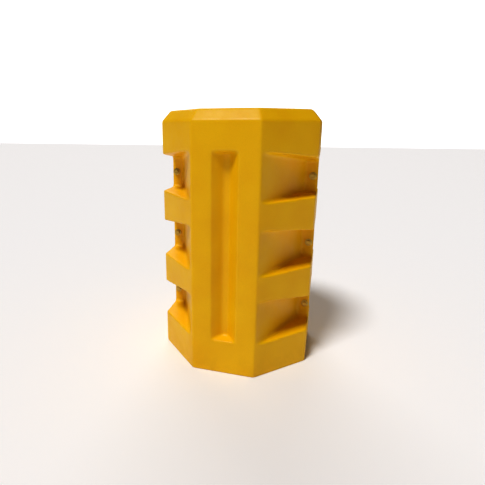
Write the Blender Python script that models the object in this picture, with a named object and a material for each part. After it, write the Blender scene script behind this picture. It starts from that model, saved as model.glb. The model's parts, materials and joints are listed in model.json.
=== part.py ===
"""Octagonal column protector: two hollow moulded halves bolted together around a square column.

Metres, +Z up. The origin is the middle of the base, and the front half faces -Y.
Both halves come from one mould: the rear one is the front one turned half a turn about Z.
"""
import math

import bmesh
import bpy
from mathutils import Matrix, Vector

# Overall form
overall_width = 0.610
overall_height = 1.000
flat_width = 0.246
slope_inset = 0.033
slope_rise = 0.040
edge_radius = 0.006
wall = 0.006

# Square opening for the column
opening_width = 0.325
opening_corner = 0.025

# Bolting pockets in the slanted faces
pocket_count = 3
pocket_height = 0.176
lowest_ledge = 0.138
top_band = 0.103
pocket_setback = 0.008
flange_width = 0.0484
roof_draft = math.radians(8.5)
ledge_draft = math.radians(1.5)
pocket_fillet = 0.010
flange_thickness = 0.014

# Stiffening groove down the middle of the face
groove_width = 0.098
groove_floor = 0.024
groove_depth = 0.038
groove_draft = math.radians(12.0)
groove_fillet = 0.006

# Bolts, nuts and washers
bolt_diameter = 0.010
bolt_spare = 0.004
bolt_hole_clearance = 0.001
head_across = 0.017
head_height = 0.0064
nut_height = 0.0080
nut_collar = 0.0030
washer_diameter = 0.030
washer_thickness = 0.0025
edge_break = 0.0008

# Locating pegs on one side of each half, and the sockets they enter on the other
peg_diameter = 0.030
peg_length = 0.010
peg_taper = 0.004
peg_clearance = 0.001

# Vent hole in the column-side wall, and its plug
vent_diameter = 0.025
vent_height = 0.100
plug_head = 0.036
plug_head_height = 0.003
plug_stem = 0.014
plug_skin = 0.003

# Foam pads that centre the column
pad_thickness = 0.010
pad_length = 0.180
pad_margin = 0.01375
pad_corner = 0.015
pad_end_distance = 0.150

# Gap between pieces that touch, sides of a round piece, steps of a wide corner, and how far cutters run past
touch = 0.0003
sides = 24
corner_steps = 4
beyond = 0.040
sharp_angle = math.radians(30.0)

half_width = overall_width / 2
half_opening = opening_width / 2
slope_start = overall_height - slope_rise
parting = -touch / 2
flange_face = parting - flange_thickness
pocket_pitch = (slope_start - top_band - pocket_height - lowest_ledge) / (pocket_count - 1)
pocket_front_x = flat_width / 2 + pocket_setback * math.sqrt(0.5)
pocket_front_y = -half_width + pocket_setback * math.sqrt(0.5)
pocket_slant = math.atan2(half_width - flange_width - pocket_front_x, flange_face - pocket_front_y)


def clear_objects():
    for old in list(bpy.data.objects):
        bpy.data.objects.remove(old, do_unlink=True)


def make_material(name, colour, roughness, metallic=0.0):
    material = bpy.data.materials.new(name)
    material.use_nodes = True
    shader = material.node_tree.nodes["Principled BSDF"]
    shader.inputs["Base Color"].default_value = (*colour, 1.0)
    shader.inputs["Roughness"].default_value = roughness
    shader.inputs["Metallic"].default_value = metallic
    material.diffuse_color = (*colour, 1.0)
    return material


def link(name, mesh):
    thing = bpy.data.objects.new(name, mesh)
    bpy.context.scene.collection.objects.link(thing)
    return thing


def mesh_from(bm, name, material=None):
    bmesh.ops.recalc_face_normals(bm, faces=bm.faces)
    mesh = bpy.data.meshes.new(name)
    bm.to_mesh(mesh)
    bm.free()
    if material:
        mesh.materials.append(material)
    return mesh


def cutter(bm, name, fillet=0.0):
    thing = link(name, mesh_from(bm, name))
    thing.hide_render = True
    thing.display_type = "WIRE"
    if fillet:
        bevel = thing.modifiers.new("fillet", "BEVEL")
        bevel.width = fillet
        bevel.segments = 3
        bevel.limit_method = "NONE"
        thing.modifiers.new("flat_faces", "TRIANGULATE")
    return thing


def boolean(target, tool, operation="DIFFERENCE"):
    modifier = target.modifiers.new(tool.name, "BOOLEAN")
    modifier.operation = operation
    modifier.solver = "EXACT"
    modifier.object = tool


def loft(bm, levels, closed=False):
    """Body through outlines of one point count: capped at both ends, or joined end to end."""
    rings = [[bm.verts.new(point) for point in level] for level in levels]
    count = len(rings[0])
    pairs = list(zip(rings, rings[1:]))
    if closed:
        pairs.append((rings[-1], rings[0]))
    for low, high in pairs:
        for i in range(count):
            j = (i + 1) % count
            bm.faces.new((low[i], low[j], high[j], high[i]))
    if not closed:
        bm.faces.new(rings[0][::-1])
        bm.faces.new(rings[-1])


def rounded(before, corner, after, radius, steps=2):
    """Points of the arc that rounds one corner of an outline."""
    corner = Vector(corner)
    towards = (Vector(before) - corner).normalized()
    away = (Vector(after) - corner).normalized()
    half_angle = towards.angle(away) / 2
    middle = corner + (towards + away).normalized() * (radius / math.sin(half_angle))
    first = corner + towards * (radius / math.tan(half_angle)) - middle
    last = corner + away * (radius / math.tan(half_angle)) - middle
    sweep = math.atan2(first.x * last.y - first.y * last.x, first.dot(last))
    points = []
    for i in range(steps + 1):
        turned = Matrix.Rotation(sweep * i / steps, 2) @ first
        points.append(tuple(middle + turned))
    return points


def half_outline(inset, skin, radius):
    """Plan of half the octagon, moved in by inset, with the column opening moved out by skin."""
    flat = flat_width / 2 - inset * math.tan(math.pi / 8)
    reach = half_width - inset
    back = parting - skin
    outer = [(reach, back), (reach, -flat), (flat, -reach)]
    outer += [(-flat, -reach), (-reach, -flat), (-reach, back)]
    edge = half_opening + skin
    inner = [(-edge, back), (-edge, -edge), (edge, -edge), (edge, back)]
    points = [outer[0]]
    for i in range(1, 5):
        points += rounded(outer[i - 1], outer[i], outer[i + 1], radius)
    points += [outer[5], inner[0]]
    for i in range(1, 3):
        points += rounded(inner[i - 1], inner[i], inner[i + 1], opening_corner + skin, corner_steps)
    return points + [inner[3]]


def half_block(name, skin):
    """Half protector without pockets: its outside with skin 0, or its hollow with skin set to the wall."""
    slope = math.hypot(slope_inset, slope_rise) / slope_inset
    grade = slope_rise / slope_inset
    drop = skin * slope
    shoulder = (skin, slope_start + skin * grade - drop)
    top = overall_height - skin
    brow = ((top - slope_start + drop) / grade, top)
    radius = edge_radius
    profile = [(skin, skin)]
    profile += rounded((skin, skin), shoulder, brow, radius)
    profile += rounded(shoulder, brow, (half_width, top), radius)
    bm = bmesh.new()
    levels = []
    for inset, height in profile:
        levels.append([(x, y, height) for x, y in half_outline(inset, skin, radius)])
    loft(bm, levels)
    return link(name, mesh_from(bm, name))


def pocket_floor_x(y, grow=0.0):
    """Distance of a pocket's floor from the middle plane, at depth y."""
    return pocket_front_x + (y - pocket_front_y) * math.tan(pocket_slant) - grow / math.cos(pocket_slant)


def ledge_height(index, y):
    return lowest_ledge + index * pocket_pitch + (y - pocket_front_y) * math.tan(ledge_draft)


def roof_height(index, y):
    return lowest_ledge + index * pocket_pitch + pocket_height - (y - pocket_front_y) * math.tan(roof_draft)


def pocket_cutters(name, grow, fillet):
    """Six wedge-shaped cutters, three a side. With grow they leave that much round each pocket."""
    front = pocket_front_y - beyond
    back = flange_face if not grow else parting + beyond
    outside = half_width + beyond
    plan = [(pocket_floor_x(front, grow), front), (pocket_floor_x(back, grow), back)]
    plan += [(outside, back), (outside, front)]
    bm = bmesh.new()
    for side in (1, -1):
        for index in range(pocket_count):
            low = [(side * x, y, ledge_height(index, y) - grow) for x, y in plan]
            high = [(side * x, y, roof_height(index, y) + grow) for x, y in plan]
            loft(bm, [low, high])
    return cutter(bm, name, fillet)


def groove_cutter(name, grow, fillet):
    """Tapered trough cut into the middle of the face."""
    lean = (groove_width - groove_floor) / 2 / groove_depth
    spread = grow * math.hypot(1.0, lean)
    low_end = lowest_ledge - grow
    high_end = lowest_ledge + (pocket_count - 1) * pocket_pitch + pocket_height + grow
    bm = bmesh.new()
    levels = []
    for depth in (-beyond, groove_depth + grow):
        half = groove_width / 2 - depth * lean + spread
        rise = depth * math.tan(groove_draft)
        y = -half_width + depth
        corners = [(-half, low_end + rise), (half, low_end + rise)]
        corners += [(half, high_end - rise), (-half, high_end - rise)]
        levels.append([(x, y, z) for x, z in corners])
    loft(bm, levels)
    return cutter(bm, name, fillet)


def bolt_places():
    """Names and centres of the bolts, on the flange at the back of each pocket."""
    x = half_width - (flange_width - pocket_fillet) / 2
    places = []
    for side, word in ((-1, "left"), (1, "right")):
        for index, level in zip(range(pocket_count), ("lower", "middle", "upper", "top")):
            z = (ledge_height(index, flange_face) + roof_height(index, flange_face)) / 2
            places.append((f"{word}_{level}", side * x, z))
    return places


def peg_places():
    """Heights of the pegs, midway between pockets, and their distance from the middle plane."""
    x = (half_opening + half_width) / 2
    heights = []
    for index in range(pocket_count - 1):
        heights.append((roof_height(index, parting) + ledge_height(index + 1, parting)) / 2)
    return x, heights


def circle(radius):
    turns = [math.tau * i / sides for i in range(sides)]
    return [(radius * math.cos(turn), radius * math.sin(turn)) for turn in turns]


def hexagon(across):
    """Hexagon outline with the same number of points as a circle."""
    points = []
    for i in range(sides):
        angle = math.tau * i / sides
        off_middle = (angle % (math.pi / 3)) - math.pi / 6
        radius = across / 2 / math.cos(off_middle)
        points.append((radius * math.cos(angle), radius * math.sin(angle)))
    return points


def along_y(bm, centre, stations, closed=False):
    """Body about an axis along Y, through outlines at the given places along it."""
    levels = []
    for outline, y in stations:
        levels.append([(centre[0] + x, y, centre[1] + z) for x, z in outline])
    loft(bm, levels, closed)


def peg_solids(name, side, grow):
    """Tapered pegs, or with grow the sockets that hold them."""
    x, heights = peg_places()
    reach = side * (peg_length + grow)
    root = -side * wall / 2
    base = peg_diameter / 2 + grow
    tip = base - peg_taper
    stations = [(circle(base), parting + root), (circle(base), parting), (circle(tip), parting + reach)]
    bm = bmesh.new()
    for height in heights:
        along_y(bm, (side * x, height), stations)
    return cutter(bm, name)


def bolt_hole_cutters(name):
    bm = bmesh.new()
    rim = circle(bolt_diameter / 2 + bolt_hole_clearance)
    for _, x, z in bolt_places():
        along_y(bm, (x, z), [(rim, flange_face - wall), (rim, parting + wall)])
    return cutter(bm, name)


def vent_cutter(name):
    bm = bmesh.new()
    rim = circle(vent_diameter / 2)
    along_y(bm, (0.0, vent_height), [(rim, -half_opening - 2 * wall), (rim, -half_opening + wall)])
    return cutter(bm, name)


def half_shell_mesh(material):
    """One moulded half: outside, pockets, groove, pegs and sockets, hollowed to the wall thickness."""
    body = half_block("half_block", 0.0)
    boolean(body, pocket_cutters("pockets", 0.0, pocket_fillet))
    boolean(body, groove_cutter("groove", 0.0, groove_fillet))
    boolean(body, peg_solids("sockets", -1, peg_clearance))
    hollow = half_block("hollow", wall)
    hollow.hide_render = True
    hollow.display_type = "WIRE"
    boolean(hollow, pocket_cutters("pocket_walls", wall, 0.0))
    boolean(hollow, groove_cutter("groove_walls", wall, 0.0))
    boolean(hollow, peg_solids("socket_walls", -1, wall + peg_clearance))
    boolean(body, hollow)
    boolean(body, peg_solids("pegs", 1, 0.0), "UNION")
    boolean(body, bolt_hole_cutters("bolt_holes"))
    boolean(body, vent_cutter("vent"))
    depsgraph = bpy.context.evaluated_depsgraph_get()
    mesh = bpy.data.meshes.new_from_object(body.evaluated_get(depsgraph))
    mesh.name = "half_shell"
    mesh.materials.clear()
    mesh.materials.append(material)
    mesh.shade_smooth()
    mesh.set_sharp_from_angle(angle=sharp_angle)
    tools = [modifier.object for thing in (body, hollow) for modifier in thing.modifiers]
    for tool in [body, *tools]:
        bpy.data.objects.remove(tool, do_unlink=True)
    return mesh


def round_mesh(name, stations, material, closed=False):
    bm = bmesh.new()
    along_y(bm, (0.0, 0.0), stations, closed)
    mesh = mesh_from(bm, name, material)
    mesh.shade_smooth()
    mesh.set_sharp_from_angle(angle=sharp_angle)
    return mesh


def bolt_mesh(material):
    """Hexagon-head bolt. Its head's underside is at y = 0 and its shank runs along +Y."""
    shank = circle(bolt_diameter / 2)
    tip = circle(bolt_diameter / 2 - edge_break)
    head = hexagon(head_across)
    crown = hexagon(head_across - 2 * edge_break)
    length = 2 * (flange_thickness + washer_thickness) + nut_height + nut_collar + 5 * touch + bolt_spare
    stations = [(crown, -head_height), (head, -head_height + edge_break), (head, 0.0), (shank, 0.0)]
    stations += [(shank, length - edge_break), (tip, length)]
    return round_mesh("bolt", stations, material)


def nut_mesh(material):
    """Locking nut. Its bearing face is at y = 0 and its collar points along +Y."""
    bore = circle(bolt_diameter / 2 + touch)
    body = hexagon(head_across)
    collar_radius = head_across / 2 - edge_break
    collar = circle(collar_radius)
    rim = circle((collar_radius + bolt_diameter / 2 + touch) / 2)
    full = nut_height + nut_collar
    stations = [(bore, 0.0), (body, 0.0), (body, nut_height), (collar, nut_height)]
    stations += [(collar, full - edge_break), (rim, full), (bore, full)]
    return round_mesh("nut", stations, material, closed=True)


def washer_mesh(material):
    hole = circle(bolt_diameter / 2 + touch)
    rim = circle(washer_diameter / 2)
    stations = [(hole, 0.0), (rim, 0.0), (rim, washer_thickness), (hole, washer_thickness)]
    return round_mesh("washer", stations, material, closed=True)


def plug_mesh(material):
    """Push-in plug: a low dome outside the wall and a hollow stem through it. The dome is on +Y."""
    stem = vent_diameter / 2 - touch
    hollow = stem - plug_skin
    stations = [(circle(hollow), 0.0), (circle(hollow), -plug_stem)]
    stations += [(circle(stem - edge_break), -plug_stem)]
    stations += [(circle(stem), -plug_stem + 2 * edge_break), (circle(stem), 0.0)]
    stations += [(circle(plug_head / 2), 0.0), (circle(plug_head / 2), plug_head_height / 2)]
    stations += [(circle(plug_head / 2 - 2 * edge_break), plug_head_height)]
    return round_mesh("plug", stations, material)


def pad_mesh(material):
    """Foam pad with rounded corners, standing on its long side against y = 0 and thick towards +Y."""
    across = (half_opening - opening_corner) / 2 - pad_margin
    up = pad_length / 2
    corners = [(-across, -up), (across, -up), (across, up), (-across, up)]
    outline = []
    for i in range(4):
        outline += rounded(corners[i - 1], corners[i], corners[(i + 1) % 4], pad_corner, corner_steps)
    return round_mesh("pad", [(outline, 0.0), (outline, pad_thickness)], material)


def place(name, mesh, location, turn=0.0, parent=None):
    thing = link(name, mesh)
    thing.location = location
    thing.rotation_euler = (0.0, 0.0, turn)
    thing.parent = parent
    return thing


def half_empty(name, turn):
    """Carrier of one half and what is fixed to it, turned about the middle of the column."""
    empty = bpy.data.objects.new(name, None)
    empty.rotation_euler = (0.0, 0.0, turn)
    bpy.context.scene.collection.objects.link(empty)
    return empty


def add_pads(word, mesh, carrier):
    """Pads low and high on the three walls of the opening."""
    low = pad_end_distance + pad_length / 2
    level = {"lower": low, "upper": overall_height - low}
    wall_face = half_opening - touch
    middle = -(half_opening - opening_corner) / 2
    for height_word, z in level.items():
        place(f"{word}_pad_middle_{height_word}", mesh, (0.0, -wall_face, z), 0.0, carrier)
        place(f"{word}_pad_west_{height_word}", mesh, (-wall_face, middle, z), -math.pi / 2, carrier)
        place(f"{word}_pad_east_{height_word}", mesh, (wall_face, middle, z), math.pi / 2, carrier)


def build():
    clear_objects()
    yellow = make_material("yellow_polyethylene", (0.66, 0.31, 0.004), 0.5)
    zinc = make_material("zinc_plated_steel", (0.52, 0.52, 0.50), 0.35, 1.0)
    black = make_material("black_polyethylene", (0.02, 0.02, 0.02), 0.5)
    foam = make_material("grey_foam", (0.05, 0.05, 0.055), 0.9)

    shell = half_shell_mesh(yellow)
    plug = plug_mesh(black)
    pad = pad_mesh(foam)
    for word, turn in (("front", 0.0), ("rear", math.pi)):
        carrier = half_empty(f"{word}_half", turn)
        place(f"{word}_half_shell", shell, (0.0, 0.0, 0.0), 0.0, carrier)
        place(f"{word}_vent_plug", plug, (0.0, -half_opening + touch, vent_height), 0.0, carrier)
        add_pads(word, pad, carrier)

    bolt = bolt_mesh(zinc)
    nut = nut_mesh(zinc)
    washer = washer_mesh(zinc)
    front_washer_y = flange_face - touch - washer_thickness
    rear_washer_y = -flange_face + touch
    for place_word, x, z in bolt_places():
        place(f"bolt_{place_word}", bolt, (x, front_washer_y - touch, z))
        place(f"front_washer_{place_word}", washer, (x, front_washer_y, z))
        place(f"rear_washer_{place_word}", washer, (x, rear_washer_y, z))
        place(f"nut_{place_word}", nut, (x, rear_washer_y + washer_thickness + touch, z))


build()
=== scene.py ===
import json
import math

import bmesh
import bpy
import numpy as np
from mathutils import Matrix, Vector


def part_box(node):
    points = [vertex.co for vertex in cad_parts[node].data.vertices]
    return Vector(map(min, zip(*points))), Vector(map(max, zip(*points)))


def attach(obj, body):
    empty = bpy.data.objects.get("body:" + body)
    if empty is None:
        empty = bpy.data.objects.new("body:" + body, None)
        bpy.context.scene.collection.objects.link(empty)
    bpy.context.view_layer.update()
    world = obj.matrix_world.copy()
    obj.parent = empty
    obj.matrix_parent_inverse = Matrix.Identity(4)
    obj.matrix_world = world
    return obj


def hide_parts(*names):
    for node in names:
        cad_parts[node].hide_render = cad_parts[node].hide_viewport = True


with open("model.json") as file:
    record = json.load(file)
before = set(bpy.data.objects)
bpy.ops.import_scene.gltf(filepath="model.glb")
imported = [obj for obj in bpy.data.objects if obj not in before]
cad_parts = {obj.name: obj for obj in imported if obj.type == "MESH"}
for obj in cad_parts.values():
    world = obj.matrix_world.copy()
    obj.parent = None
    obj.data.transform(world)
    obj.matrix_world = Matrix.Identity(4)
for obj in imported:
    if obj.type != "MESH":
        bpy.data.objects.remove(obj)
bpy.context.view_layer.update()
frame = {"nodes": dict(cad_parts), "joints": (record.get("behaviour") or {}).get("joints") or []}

boltJoints = [joint for joint in frame["joints"] if joint["type"] == "hinge"]
sides = ("left", "right")
levels = ("lower", "middle", "upper")
halves = ("front", "rear")


def hexColour(code):
    # sRGB hex to the linear values that shaders use
    values = []
    for start in (1, 3, 5):
        part = int(code[start:start + 2], 16) / 255
        values.append(part / 12.92 if part <= 0.04045 else ((part + 0.055) / 1.055) ** 2.4)
    return (*values, 1.0)


def addNode(tree, kind, settings=None, links=None):
    # settings: attribute or input values. links: input name to a socket of another node
    node = tree.nodes.new(kind)
    for key, value in (settings or {}).items():
        if hasattr(node, key) and not isinstance(key, int) and key not in node.inputs:
            setattr(node, key, value)
        else:
            node.inputs[key].default_value = value
    for key, socket in (links or {}).items():
        tree.links.new(socket, node.inputs[key])
    return node


def startMaterial(name, settings):
    material = bpy.data.materials.new(name)
    material.use_nodes = True
    tree = material.node_tree
    shader = tree.nodes["Principled BSDF"]
    for key, value in settings.items():
        shader.inputs[key].default_value = value
    return material, tree, shader


def objectPlace(tree):
    return addNode(tree, "ShaderNodeTexCoord").outputs["Object"]


def colourRamp(tree, value, stops):
    # stops: position and sRGB hex, from low to high
    ramp = addNode(tree, "ShaderNodeValToRGB", links={"Fac": value})
    elements = ramp.color_ramp.elements
    for element, (position, code) in zip(elements, (stops[0], stops[-1])):
        element.position = position
        element.color = hexColour(code)
    for position, code in stops[1:-1]:
        elements.new(position).color = hexColour(code)
    return ramp.outputs["Color"]


def rescaled(tree, value, source, target):
    node = addNode(tree, "ShaderNodeMapRange", {
        "From Min": source[0], "From Max": source[1], "To Min": target[0], "To Max": target[1]},
        {"Value": value})
    return node.outputs["Result"]


def multiplied(tree, first, second):
    return addNode(tree, "ShaderNodeMath", {"operation": "MULTIPLY"}, {0: first, 1: second}).outputs[0]


def colourMix(tree, amount, low, high):
    # low and high: a hex colour or a socket
    node = addNode(tree, "ShaderNodeMix", {"data_type": "RGBA"}, {"Factor": amount})
    for socket, colour in ((node.inputs[6], low), (node.inputs[7], high)):
        if isinstance(colour, str):
            socket.default_value = hexColour(colour)
        else:
            tree.links.new(colour, socket)
    return node.outputs[2]


def bumped(tree, height, strength, distance, under=None):
    links = {"Height": height}
    if under is not None:
        links["Normal"] = under
    bump = addNode(tree, "ShaderNodeBump", {"Strength": strength, "Distance": distance}, links)
    return bump.outputs["Normal"]


def plug(tree, shader, sockets):
    for name, socket in sockets.items():
        tree.links.new(socket, shader.inputs[name])


def perMetre(millimetres):
    # noise scale whose features are that many millimetres apart in object space
    return 1000.0 / millimetres


shellLook = {
    "colour": "#F3BE08",
    "paleColour": "#F6C30E",
    "deepColour": "#F0B805",
    "scuffAndHighlightColour": "#F7CE4A",
    "dirtColour": "#8A6A2A",
    "roughness": (0.38, 0.50),
    "pigmentPatch": 160.0,   # mm between richer and paler areas
    "powderGrain": 1.6,      # mm, real 0.5 mm powder drawn coarser so that it shows
    "grainTone": (0.965, 1.03),
    "rubSpacing": 35.0,      # mm between handling rubs
    "edgeWearAndHighlight": 0.25,        # share of scuff colour and painted highlight on the sharpest edges
    "splashHeight": 0.10,    # m above the floor that dirt reaches
    "splashDirt": 0.12,
    "peelSpacing": 9.0,      # mm between the low swells of the moulded skin
    "peelHeight": 0.00022,
    "pitSpacing": 14.0,      # mm between pinholes
    "pitDepth": 0.00025,
}


def rotomouldedPolyethylene():
    # LLDPE powder fused against a warm steel mould: satin skin, slight orange peel, pinholes, soft glow
    look = shellLook
    material, tree, shader = startMaterial("rotomouldedPolyethylene", {
        "Metallic": 0.0, "IOR": 1.51, "Subsurface Weight": 0.06, "Subsurface Scale": 0.004,
        "Subsurface Radius": (1.0, 0.5, 0.1), "Specular IOR Level": 0.3})
    place = objectPlace(tree)
    patches = addNode(tree, "ShaderNodeTexNoise", {
        "Scale": perMetre(look["pigmentPatch"]), "Detail": 3.0}, {"Vector": place})
    tone = colourRamp(tree, patches.outputs["Fac"], (
        (0.3, look["deepColour"]), (0.5, look["colour"]), (0.7, look["paleColour"])))
    grain = addNode(tree, "ShaderNodeTexNoise", {
        "Scale": perMetre(look["powderGrain"]), "Detail": 1.0}, {"Vector": place})
    grainTone = rescaled(tree, grain.outputs["Fac"], (0.3, 0.7), look["grainTone"])
    coloured = addNode(tree, "ShaderNodeVectorMath", {"operation": "SCALE"}, {0: tone, "Scale": grainTone})
    shape = addNode(tree, "ShaderNodeNewGeometry")
    # sharpest convex edges drawn lighter: partly scuff whitening, partly a painted highlight along the
    # edges
    edge = rescaled(tree, shape.outputs["Pointiness"], (0.52, 0.62), (0.0, look["edgeWearAndHighlight"]))
    rubs = addNode(tree, "ShaderNodeTexNoise", {
        "Scale": perMetre(look["rubSpacing"]), "Detail": 5.0, "Roughness": 0.65}, {"Vector": place})
    rubbed = rescaled(tree, rubs.outputs["Fac"], (0.42, 0.62), (0.15, 1.0))
    worn = colourMix(tree, multiplied(tree, edge, rubbed), coloured.outputs["Vector"], look["scuffAndHighlightColour"])
    height = addNode(tree, "ShaderNodeSeparateXYZ", links={"Vector": place})
    splash = rescaled(tree, height.outputs["Z"], (0.0, look["splashHeight"]), (look["splashDirt"], 0.0))
    soiled = colourMix(tree, multiplied(tree, splash, rubbed), worn, look["dirtColour"])
    gloss = rescaled(tree, rubs.outputs["Fac"], (0.35, 0.65), look["roughness"])
    peel = addNode(tree, "ShaderNodeTexNoise", {
        "Scale": perMetre(look["peelSpacing"]), "Detail": 2.0, "Roughness": 0.4}, {"Vector": place})
    peelBump = bumped(tree, peel.outputs["Fac"], 0.6, look["peelHeight"])
    pits = addNode(tree, "ShaderNodeTexVoronoi", {"Scale": perMetre(look["pitSpacing"])}, {"Vector": place})
    pitShape = rescaled(tree, pits.outputs["Distance"], (0.0, 0.05), (0.0, 1.0))
    pitBump = bumped(tree, pitShape, 0.7, look["pitDepth"], peelBump)
    plug(tree, shader, {"Base Color": soiled, "Roughness": gloss, "Normal": pitBump})
    return material


hardwareLook = {
    "swirls": ("#C49B44", "#CFAE5B", "#C3A958"),
    "roughness": (0.30, 0.48),
    "patch": 9.0,        # mm between the passivation's colour swirls
    "drawLine": 0.35,    # mm between the fine lines that cold forming leaves
    "lineHeight": 0.00002,
}


def yellowPassivatedZinc():
    # steel, zinc electroplated and dipped yellow: soft gold metal with faint green and rose swirls
    look = hardwareLook
    material, tree, shader = startMaterial("yellowPassivatedZinc", {"Metallic": 1.0})
    place = objectPlace(tree)
    swirl = addNode(tree, "ShaderNodeTexNoise", {
        "Scale": perMetre(look["patch"]), "Detail": 2.0, "Distortion": 0.4}, {"Vector": place})
    tone = colourRamp(tree, swirl.outputs["Fac"], tuple(zip((0.36, 0.5, 0.66), look["swirls"])))
    gloss = rescaled(tree, swirl.outputs["Fac"], (0.3, 0.7), look["roughness"])
    lines = addNode(tree, "ShaderNodeTexNoise", {
        "Scale": perMetre(look["drawLine"]), "Detail": 1.0}, {"Vector": place})
    bump = bumped(tree, lines.outputs["Fac"], 0.4, look["lineHeight"])
    plug(tree, shader, {"Base Color": tone, "Roughness": gloss, "Normal": bump})
    return material


nylonLook = {
    "colour": "#E9E6DC",
    "shade": "#D8D3C4",
    "patch": 2.5,      # mm between cloudier areas
}


def turnedNylon():
    # the locking ring, cut from nylon rod: milky, half translucent, slightly uneven
    look = nylonLook
    material, tree, shader = startMaterial("turnedNylon", {
        "Roughness": 0.38, "IOR": 1.53, "Subsurface Weight": 0.2, "Subsurface Scale": 0.001})
    place = objectPlace(tree)
    cloud = addNode(tree, "ShaderNodeTexNoise", {"Scale": perMetre(look["patch"])}, {"Vector": place})
    tone = colourRamp(tree, cloud.outputs["Fac"], ((0.0, look["shade"]), (1.0, look["colour"])))
    plug(tree, shader, {"Base Color": tone})
    return material


plugLook = {
    "colour": "#17181A",
    "worn": "#24262A",
    "roughness": (0.42, 0.6),
    "patch": 12.0,      # mm between duller areas
    "grain": 0.9,       # mm between the dots of the spark-eroded mould
    "grainHeight": 0.00004,
}


def mouldedLdpe():
    # soft black LDPE from an injection mould: fine dull grain, waxy shine
    look = plugLook
    material, tree, shader = startMaterial("mouldedLdpe", {"IOR": 1.51, "Specular IOR Level": 0.4})
    place = objectPlace(tree)
    patches = addNode(tree, "ShaderNodeTexNoise", {
        "Scale": perMetre(look["patch"]), "Detail": 3.0}, {"Vector": place})
    tone = colourRamp(tree, patches.outputs["Fac"], ((0.4, look["colour"]), (0.7, look["worn"])))
    gloss = rescaled(tree, patches.outputs["Fac"], (0.0, 1.0), look["roughness"])
    grain = addNode(tree, "ShaderNodeTexNoise", {
        "Scale": perMetre(look["grain"]), "Detail": 0.0}, {"Vector": place})
    bump = bumped(tree, grain.outputs["Fac"], 0.5, look["grainHeight"])
    plug(tree, shader, {"Base Color": tone, "Roughness": gloss, "Normal": bump})
    return material


foamLook = {
    "colour": "#606368",
    "litCellWall": "#7D8086",
    "cell": 1.4,        # mm, real 0.6 mm cells drawn coarser so that they show
    "cellDepth": 0.0002,
    "mottle": 25.0,     # mm between denser areas of the foam
}


def closedCellFoam():
    # cross-linked polyethylene foam, split and die cut: opened cells with painted shade in their pits, dry
    # matt, no shine
    look = foamLook
    material, tree, shader = startMaterial("closedCellFoam", {
        "Roughness": 0.92, "IOR": 1.5, "Sheen Weight": 0.15, "Sheen Roughness": 0.5})
    place = objectPlace(tree)
    cells = addNode(tree, "ShaderNodeTexVoronoi", {
        "feature": "DISTANCE_TO_EDGE", "Scale": perMetre(look["cell"])}, {"Vector": place})
    # cell pits drawn in the darker colour and cell walls in the lighter one: painted shade in the pits and
    # painted light on the walls, mixed with random mottle
    wall = rescaled(tree, cells.outputs["Distance"], (0.0, 0.25), (1.0, 0.0))
    mottle = addNode(tree, "ShaderNodeTexNoise", {
        "Scale": perMetre(look["mottle"]), "Detail": 4.0}, {"Vector": place})
    weight = multiplied(tree, wall, mottle.outputs["Fac"])
    tone = colourMix(tree, weight, look["colour"], look["litCellWall"])
    plug(tree, shader, {"Base Color": tone, "Normal": bumped(tree, wall, 0.8, look["cellDepth"])})
    return material


shellShape = {
    "voxel": 0.004,
    "softening": 8,
    "sag": 0.0007,      # how far the wall shrinks back from the mould, uneven
    "sagSpacing": 0.16,
    "flange": 0.014,
    "boltHole": 0.006,
    "ventHole": 0.0125,
    "ventDepth": 0.018,
    "overrun": 0.006,   # how far a drill starts outside the wall
    "drillCut": 0.0075,     # radius inside which a drilled hole's own walls are closed
    "ventCut": 0.0135,
}


def roundOutline(radius, count):
    turns = [math.tau * i / count for i in range(count)]
    return [(radius * math.cos(turn), radius * math.sin(turn)) for turn in turns]


def alongY(outline, depth, centre=(0.0, 0.0)):
    return [Vector((centre[0] + x, depth, centre[1] + z)) for x, z in outline]


def roundRings(profile, count):
    # profile: radius and depth along Y, from one end to the other
    return [alongY(roundOutline(radius, count), depth) for radius, depth in profile]


def loftInto(bm, rings, closed=False):
    # skin through rings of one point count, capped at both ends or joined end to end
    rows = [[bm.verts.new(point) for point in ring] for ring in rings]
    pairs = list(zip(rows, rows[1:]))
    if closed:
        pairs.append((rows[-1], rows[0]))
    else:
        bm.faces.new(rows[0][::-1])
        bm.faces.new(rows[-1])
    count = len(rows[0])
    bands = []
    for low, high in pairs:
        bands.append([bm.faces.new((low[i], low[(i + 1) % count], high[(i + 1) % count], high[i]))
                      for i in range(count)])
    return bands


def finishPiece(piece, body, node):
    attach(piece, body)
    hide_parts(node)


def outerSkin(node, drilled):
    # the outside of a hollow moulding: drilled holes closed and the inner wall left out
    bm = bmesh.new()
    bm.from_mesh(frame["nodes"][node].data)
    bmesh.ops.remove_doubles(bm, verts=bm.verts, dist=1e-6)
    walls = []
    for face in bm.faces:
        if abs(face.normal.y) > 0.2:
            continue
        middle = face.calc_center_median()
        for x, z, radius, lowY, highY in drilled:
            if math.hypot(middle.x - x, middle.z - z) < radius and lowY < middle.y < highY:
                walls.append(face)
                break
    bmesh.ops.delete(bm, geom=walls, context="FACES")
    left = set(bm.verts)
    islands = []
    while left:
        seed = left.pop()
        island = {seed}
        queue = [seed]
        while queue:
            for near in queue.pop().link_edges:
                for vert in near.verts:
                    if vert not in island:
                        island.add(vert)
                        queue.append(vert)
        left -= island
        islands.append(island)
    outside = max(islands, key=lambda group: max(v.co.z for v in group) - min(v.co.z for v in group))
    bmesh.ops.delete(bm, geom=[v for v in bm.verts if v not in outside], context="VERTS")
    bmesh.ops.holes_fill(bm, edges=[e for e in bm.edges if e.is_boundary])
    bmesh.ops.recalc_face_normals(bm, faces=bm.faces)
    return bm


def newPiece(name, bm, material):
    mesh = bpy.data.meshes.new(name)
    bm.to_mesh(mesh)
    bm.free()
    mesh.materials.append(material)
    mesh.shade_smooth()
    piece = bpy.data.objects.new(name, mesh)
    bpy.context.scene.collection.objects.link(piece)
    return piece


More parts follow.
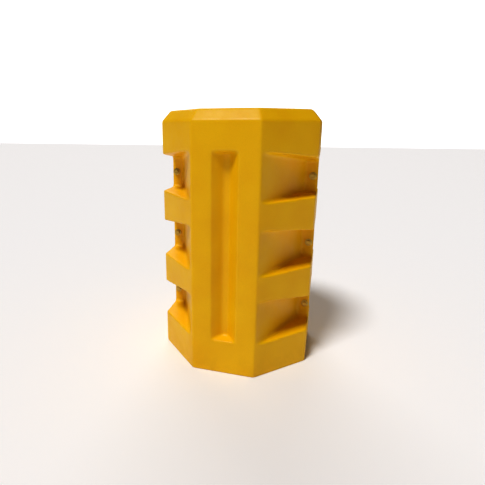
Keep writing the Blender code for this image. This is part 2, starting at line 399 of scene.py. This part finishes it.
def applied(piece):
    # the piece with its modifiers made into mesh
    graph = bpy.context.evaluated_depsgraph_get()
    mesh = bpy.data.meshes.new_from_object(piece.evaluated_get(graph))
    old = piece.data
    piece.modifiers.clear()
    piece.data = mesh
    bpy.data.meshes.remove(old)
    mesh.shade_smooth()


def sagged(points, phase):
    # slow swells, always inward, from cooling away from the mould
    step = math.tau / shellShape["sagSpacing"]
    x, y, z = points[:, 0], points[:, 1], points[:, 2]
    swell = np.sin(step * (x + 0.31 * y) + phase) * np.cos(step * 0.8 * (z - 0.4 * x) + 2 * phase)
    swell += 0.6 * np.sin(step * 1.7 * (0.5 * z + y) + 3 * phase)
    return shellShape["sag"] * (0.5 + swell / 3.2)


def drillHoles(piece, half, plugLow, plugHigh):
    # clean round bolt holes through the flange, and a blind one for the plug
    reach = shellShape["flange"] + 0.002
    away = -1.0 if half == "front" else 1.0
    bm = bmesh.new()
    for joint in boltJoints:
        x, y, z = joint["pos_m"]
        ends = sorted((away * 0.0001, away * reach))
        rings = [alongY(roundOutline(shellShape["boltHole"], 32), depth, (x, z)) for depth in ends]
        loftInto(bm, rings)
    middle = (plugLow + plugHigh) / 2
    wallFace = (plugHigh.y if half == "front" else plugLow.y) + away * plugShape["headHeight"]
    ends = sorted((wallFace - away * shellShape["overrun"], wallFace + away * shellShape["ventDepth"]))
    rim = roundOutline(shellShape["ventHole"], 48)
    loftInto(bm, [alongY(rim, depth, (middle.x, middle.z)) for depth in ends])
    bmesh.ops.recalc_face_normals(bm, faces=bm.faces)
    drill = newPiece("drill", bm, piece.data.materials[0])
    cut = piece.modifiers.new("holes", "BOOLEAN")
    cut.solver = "MANIFOLD"
    cut.object = drill
    applied(piece)
    bpy.data.objects.remove(drill, do_unlink=True)
    piece.data.set_sharp_from_angle(angle=math.radians(50.0))


def buildShells(material):
    cutList = []
    for joint in boltJoints:
        x, y, z = joint["pos_m"]
        cutList.append((x, z, shellShape["drillCut"], -0.05, 0.05))
    for half, phase in zip(halves, (0.4, 2.1)):
        node = half + "_half_shell"
        plugLow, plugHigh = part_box(half + "_vent_plug")
        plugMiddle = (plugLow + plugHigh) / 2
        vent = (plugMiddle.x, plugMiddle.z, shellShape["ventCut"], plugMiddle.y - 0.03, plugMiddle.y + 0.03)
        piece = newPiece(half + "Shell", outerSkin(node, cutList + [vent]), material)
        remesh = piece.modifiers.new("skin", "REMESH")
        remesh.mode = "VOXEL"
        remesh.voxel_size = shellShape["voxel"]
        smooth = piece.modifiers.new("soften", "SMOOTH")
        smooth.iterations = shellShape["softening"]
        applied(piece)
        count = len(piece.data.vertices)
        points = np.zeros(count * 3, np.float32)
        normals = np.zeros(count * 3, np.float32)
        piece.data.vertices.foreach_get("co", points)
        piece.data.vertex_normals.foreach_get("vector", normals)
        points = points.reshape(-1, 3)
        normals = normals.reshape(-1, 3)
        points -= normals * sagged(points, phase)[:, None]
        low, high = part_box(node)
        np.clip(points, np.array(low), np.array(high), out=points)
        piece.data.vertices.foreach_set("co", points.ravel())
        piece.data.update()
        drillHoles(piece, half, plugLow, plugHigh)
        finishPiece(piece, half + "_half", node)
        print(piece.name, len(piece.data.polygons), "faces")


boltShape = {
    "across": 0.017,
    "headHeight": 0.0064,
    "diameter": 0.010,
    "pitch": 0.0015,
    "threadLength": 0.026,
    "threadDepth": 0.0009,
    "washerFace": 0.0005,
    "chamfer": math.radians(30.0),
    "crown": 0.95,        # flat top's share of the width across flats
    "dish": ((0.0045, 0.00035), (0.0060, 0.00025), (0.0066, 0.0)),  # radius and depth of the forged dimple
    "tipChamfer": 0.0012,
    "crest": 0.14,        # share of a pitch that is flat at the crest
    "flank": 0.70,
    "points": 36,
    "rowsPerPitch": 8,
}


def hexRadius(angle, across):
    return across / 2 / math.cos(angle % (math.pi / 3) - math.pi / 6)


def hexRing(depthAt, across, count):
    # hexagon with a depth of its own at each corner, for the 30 degree chamfer's curved edge
    ring = []
    for i in range(count):
        angle = math.tau * i / count
        radius = hexRadius(angle, across)
        ring.append(Vector((radius * math.cos(angle), depthAt(radius), radius * math.sin(angle))))
    return ring


def threadRadius(angle, along):
    shape = boltShape
    crest = shape["diameter"] / 2
    phase = (along / shape["pitch"] - angle / math.tau) % 1.0
    flank = min(max((abs(phase - 0.5) * 2 - shape["crest"]) / shape["flank"], 0.0), 1.0)
    fade = min(max(along / shape["pitch"], 0.0), 1.0)
    return crest - shape["threadDepth"] * fade * (1.0 - flank)


def boltMesh(length):
    # head on -Y with its bearing face at 0, tip at +length
    shape = boltShape
    count = shape["points"]
    half = shape["across"] / 2
    slope = math.tan(shape["chamfer"])
    top = -shape["headHeight"]
    crown = shape["crown"] * half
    washerFace = -shape["washerFace"]
    shank = shape["diameter"] / 2
    start = length - shape["threadLength"]
    rings = roundRings([(radius, top + depth) for radius, depth in shape["dish"]], count)
    rings += roundRings([(crown, top)], count)
    rings.append(hexRing(lambda radius: top + (radius - crown) * slope, shape["across"], count))
    rings.append(hexRing(lambda radius: washerFace, shape["across"], count))
    rings += roundRings((
        (crown, washerFace),
        (crown - 0.0001, 0.0),
        (shank + 0.0002, 0.0),      # fillet under the head
        (shank, 0.0003),
        (shank, start)), count)
    step = shape["pitch"] / shape["rowsPerPitch"]
    rows = int(shape["threadLength"] / step)
    for row in range(1, rows + 1):
        depth = start + row * shape["threadLength"] / rows
        ring = []
        for i in range(count):
            angle = math.tau * i / count
            radius = min(threadRadius(angle, depth - start), shank - shape["tipChamfer"] + (length - depth))
            ring.append(Vector((radius * math.cos(angle), depth, radius * math.sin(angle))))
        rings.append(ring)
    bm = bmesh.new()
    loftInto(bm, rings)
    return bm


nutShape = {
    "across": 0.017,
    "height": 0.0080,
    "collar": 0.0030,
    "collarRadius": 0.0074,
    "lip": 0.0064,
    "bore": 0.0053,
    "points": 48,
}


def nutMesh():
    # bearing face at 0, collar with its nylon ring on +Y
    shape = nutShape
    count = shape["points"]
    slope = math.tan(math.radians(30.0))
    crown = 0.95 * shape["across"] / 2
    body = shape["height"]
    full = body + shape["collar"]
    bore, collar, lip = shape["bore"], shape["collarRadius"], shape["lip"]
    rings = roundRings((
        (bore, 0.0006),             # countersunk mouth
        (bore + 0.0005, 0.0),
        (crown, 0.0)), count)
    rings.append(hexRing(lambda radius: (radius - crown) * slope, shape["across"], count))
    rings.append(hexRing(lambda radius: body - (radius - crown) * slope, shape["across"], count))
    rings += roundRings((
        (crown, body),
        (collar + 0.0002, body),    # fillet at the collar's foot
        (collar, body + 0.0003),
        (collar, full - 0.0008),    # edge rolled in over the nylon ring
        (collar - 0.0003, full - 0.0002),
        (collar - 0.0007, full),
        (lip, full - 0.0002),
        (lip - 0.0001, full - 0.0006),
        (bore + 0.0003, full - 0.0006),     # the ring's own face and bore
        (bore, full - 0.0009),
        (bore, body)), count)
    bm = bmesh.new()
    bands = loftInto(bm, rings, closed=True)
    for band in bands[-4:-1]:
        for face in band:
            face.material_index = 1
    return bm


washerShape = {
    "outside": 0.015,
    "hole": 0.0053,
    "thickness": 0.0025,
    "rolledEdge": 0.0006,   # the punch rolls one edge over and leaves the other sharp
    "points": 64,
}


def washerMesh():
    shape = washerShape
    count = shape["points"]
    thick = shape["thickness"]
    hole, outside, rolled = shape["hole"], shape["outside"], shape["rolledEdge"]
    edge = [math.pi / 2 * i / 4 for i in range(5)]
    rings = roundRings([(hole + 0.0003, 0.0)], count)
    rings += roundRings([
        (outside - rolled * (1 - math.sin(turn)), rolled * (1 - math.cos(turn))) for turn in edge], count)
    rings += roundRings((
        (outside, thick - 0.0001),
        (outside - 0.0001, thick),
        (hole + 0.0001, thick),
        (hole, thick - 0.0001),
        (hole, 0.0003)), count)
    bm = bmesh.new()
    loftInto(bm, rings, closed=True)
    return bm


def fastenerMesh(kind, bm, slots):
    bmesh.ops.recalc_face_normals(bm, faces=bm.faces)
    mesh = bpy.data.meshes.new(kind)
    bm.to_mesh(mesh)
    bm.free()
    for material in slots:
        mesh.materials.append(material)
    mesh.shade_smooth()
    mesh.set_sharp_from_angle(angle=math.radians(32.0))
    return mesh


def buildFasteners(zinc, nylon):
    meshes = {}
    pieces = 0
    for side in sides:
        for level in levels:
            place = side + "_" + level
            boltNode = "bolt_" + place
            low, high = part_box(boltNode)
            centre = (low + high) / 2
            bearing = low.y + boltShape["headHeight"]
            for kind, node, body, depth, slots in (
                    ("bolt", boltNode, boltNode, bearing, [zinc]),
                    ("frontWasher", "front_washer_" + place, "front_half", None, [zinc]),
                    ("rearWasher", "rear_washer_" + place, "rear_half", None, [zinc]),
                    ("nut", "nut_" + place, "rear_half", None, [zinc, nylon])):
                if kind not in meshes:
                    shapes = {"bolt": lambda: boltMesh(high.y - bearing), "nut": nutMesh}
                    meshes[kind] = fastenerMesh(kind, shapes.get(kind, washerMesh)(), slots)
                piece = bpy.data.objects.new(kind + side.title() + level.title(), meshes[kind])
                bpy.context.scene.collection.objects.link(piece)
                if depth is None:
                    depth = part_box(node)[0].y
                piece.location = (centre.x, depth, centre.z)
                finishPiece(piece, body, node)
                pieces += 1
    print("fasteners:", pieces)


plugShape = {
    "head": 0.018,
    "headHeight": 0.003,
    "stem": 0.0122,
    "stemLength": 0.014,
    "barbs": 3,
    "barbHeight": 0.0004,
    "skin": 0.0025,
    "points": 64,
}


def plugMesh():
    # dome on +Y, the wall's face at 0, stem on -Y with barbs that hold it in the hole
    shape = plugShape
    count = shape["points"]
    stem = shape["stem"] - shape["barbHeight"]
    outline = []
    for i in range(1, 9):
        across = shape["head"] * i / 8
        dome = shape["headHeight"] * (1 - 0.62 * (i / 8) ** 2.6)
        gateDimple = 0.0005 * math.exp(-(across / 0.004) ** 2)
        outline.append((across, dome - gateDimple))
    outline.append((shape["head"], shape["headHeight"] * 0.22))
    outline.append((shape["head"] - 0.0004, 0.0001))
    outline.append((stem, 0.0001))
    gap = shape["stemLength"] / (shape["barbs"] + 1)
    for i in range(shape["barbs"]):
        at = -gap * (i + 0.6)
        outline.append((stem, at))
        outline.append((shape["stem"], at - 0.0004))
        outline.append((stem, at - gap * 0.5))
    outline.append((stem - 0.0008, -shape["stemLength"]))
    outline.append((stem - shape["skin"], -shape["stemLength"]))
    outline.append((stem - shape["skin"] - 0.0003, 0.0))
    bm = bmesh.new()
    loftInto(bm, roundRings(outline, count))
    return bm


def buildPlugs(material):
    for half, turn in (("front", 0.0), ("rear", math.pi)):
        node = half + "_vent_plug"
        low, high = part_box(node)
        middle = (low + high) / 2
        bm = plugMesh()
        bmesh.ops.recalc_face_normals(bm, faces=bm.faces)
        piece = newPiece(half + "Plug", bm, material)
        piece.data.set_sharp_from_angle(angle=math.radians(40.0))
        face = high.y - plugShape["headHeight"] if half == "front" else low.y + plugShape["headHeight"]
        piece.location = (middle.x, face, middle.z)
        piece.rotation_euler.z = turn
        finishPiece(piece, half + "_half", node)
    print("plugs ready")


padShape = {
    "corner": 0.015,
    "edge": 0.0022,      # how round the knife and the press leave the front edge
    "pullIn": 0.0006,    # the cut side is drawn in at half its height
    "crown": 0.0007,
    "ripple": 0.00018,
    "rippleTurns": (150, 110),  # radians per metre across and up
    "inRings": 14,
}


def padOutline(across, up, corner, steps=7, straight=9):
    # rounded rectangle, anticlockwise from the right side, points along its straight sides too
    arcs = []
    for sx, sz, start in ((1, 1, 0.0), (-1, 1, 0.5), (-1, -1, 1.0), (1, -1, 1.5)):
        turns = [math.pi * (start + 0.5 * i / steps) for i in range(steps + 1)]
        arcs.append([(sx * (across - corner) + corner * math.cos(turn),
                      sz * (up - corner) + corner * math.sin(turn)) for turn in turns])
    outline = []
    for arc, following in zip(arcs, arcs[1:] + arcs[:1]):
        outline += arc
        (x, z), (farX, farZ) = arc[-1], following[0]
        for i in range(1, straight):
            share = i / straight
            outline.append((x + (farX - x) * share, z + (farZ - z) * share))
    return outline


def padMesh(width, height, thick, phase):
    # back on the wall at y = 0, crowned face on +Y
    shape = padShape
    across, up = width / 2, height / 2
    waveX, waveZ = shape["rippleTurns"]

    def ring(inset, depth):
        points = padOutline(across - inset, up - inset, max(shape["corner"] - inset, 0.004))
        return [Vector((x, depth, z)) for x, z in points]

    edge = shape["edge"]
    face = thick - shape["crown"]
    rings = [ring(0.0, 0.0), ring(shape["pullIn"] * 0.6, thick * 0.2), ring(shape["pullIn"], thick * 0.45)]
    rings.append(ring(shape["pullIn"] * 0.6, face - edge))
    for i in range(1, 5):
        turn = math.pi / 2 * i / 4
        inset = shape["pullIn"] * 0.6 + edge * (1 - math.cos(turn))
        rings.append(ring(inset, face - edge * (1 - math.sin(turn))))
    outer = rings[-1]
    for i in range(1, shape["inRings"] + 1):
        share = 1 - i / (shape["inRings"] + 0.5)
        ringPoints = []
        for point in outer:
            x, z = point.x * share, point.z * share
            dome = 1 - max(abs(x) / across, abs(z) / up) ** 3
            wave = math.sin(x * waveX + phase) * math.cos(z * waveZ - 2 * phase)
            lift = shape["crown"] * dome * 0.8 + shape["ripple"] * wave * dome
            ringPoints.append(Vector((x, face + lift, z)))
        rings.append(ringPoints)
    bm = bmesh.new()
    loftInto(bm, rings)
    return bm


def buildPads(material):
    phase = 0.0
    for half in halves:
        for wall in ("middle", "west", "east"):
            for height in ("lower", "upper"):
                node = half + "_pad_" + wall + "_" + height
                low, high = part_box(node)
                size = high - low
                middle = (low + high) / 2
                if size.y < size.x:
                    turn = 0.0 if middle.y < 0 else math.pi
                    spot = (middle.x, low.y if middle.y < 0 else high.y, middle.z)
                else:
                    turn = -math.pi / 2 if middle.x < 0 else math.pi / 2
                    spot = (low.x if middle.x < 0 else high.x, middle.y, middle.z)
                phase += 1.3
                bm = padMesh(max(size.x, size.y), size.z, min(size.x, size.y), phase)
                bmesh.ops.recalc_face_normals(bm, faces=bm.faces)
                piece = newPiece(half + "Pad" + wall.title() + height.title(), bm, material)
                piece.data.set_sharp_from_angle(angle=math.radians(60.0))
                piece.location = spot
                piece.rotation_euler.z = turn
                finishPiece(piece, half + "_half", node)
    print("pads ready")


stageLook = {
    "floorColour": "#FAFBFF",
    "lamps": (
        # name, degrees round from the front, degrees up, power, degrees across, colour
        ("key", -26.0, 63.0, 1.60, 14.0, "#FFFEFC"),
        ("back", -160.0, 38.0, 0.55, 40.0, "#FFFDF8"),
    ),
    "skyColour": "#FFEAD6",
    "skyStrength": 0.10,
    "backdropColour": "#FFFFFF",
}


def buildStage():
    look = stageLook
    bm = bmesh.new()
    bmesh.ops.create_grid(bm, x_segments=1, y_segments=1, size=20.0)
    floorMaterial, tree, shader = startMaterial("matFloorPaint", {
        "Base Color": hexColour(look["floorColour"]), "Roughness": 0.9})
    newPiece("floor", bm, floorMaterial)
    world = bpy.data.worlds.new("studio")
    world.use_nodes = True
    background = world.node_tree.nodes["Background"]
    background.inputs["Color"].default_value = hexColour(look["skyColour"])
    background.inputs["Strength"].default_value = look["skyStrength"]
    paper = addNode(world.node_tree, "ShaderNodeBackground", {"Color": hexColour(look["backdropColour"])})
    seen = addNode(world.node_tree, "ShaderNodeLightPath")
    both = addNode(world.node_tree, "ShaderNodeMixShader", links={0: seen.outputs["Is Camera Ray"]})
    world.node_tree.links.new(background.outputs[0], both.inputs[1])
    world.node_tree.links.new(paper.outputs[0], both.inputs[2])
    world.node_tree.links.new(both.outputs[0], world.node_tree.nodes["World Output"].inputs["Surface"])
    bpy.context.scene.world = world
    for name, turn, rise, power, across, colour in look["lamps"]:
        lamp = bpy.data.lights.new(name, "SUN")
        lamp.energy = power
        lamp.angle = math.radians(across)
        lamp.color = hexColour(colour)[:3]
        sun = bpy.data.objects.new(name, lamp)
        sun.rotation_euler = (math.radians(90.0 - rise), 0.0, math.radians(turn))
        bpy.context.scene.collection.objects.link(sun)


cameraPlace = {
    "position": (0.342, -1.654, 0.934),
    "turn": 16.64,      # degrees to the right of the front
    "tilt": 14.95,      # degrees down
    "focal": 29.787,    # mm
    "shift": (0.07216, -0.01526),
}


def buildCamera():
    lens = bpy.data.cameras.new("camera")
    lens.lens = cameraPlace["focal"]
    lens.shift_x, lens.shift_y = cameraPlace["shift"]
    camera = bpy.data.objects.new("camera", lens)
    camera.location = cameraPlace["position"]
    camera.rotation_euler = (math.radians(90 - cameraPlace["tilt"]), 0.0, math.radians(cameraPlace["turn"]))
    bpy.context.scene.collection.objects.link(camera)
    bpy.context.scene.camera = camera


bpy.context.scene.view_settings.view_transform = "Standard"
bpy.context.scene.view_settings.look = "High Contrast"
buildCamera()
buildStage()
print("stage ready")
buildShells(rotomouldedPolyethylene())
print("shells ready")
buildFasteners(yellowPassivatedZinc(), turnedNylon())
buildPlugs(mouldedLdpe())
buildPads(closedCellFoam())
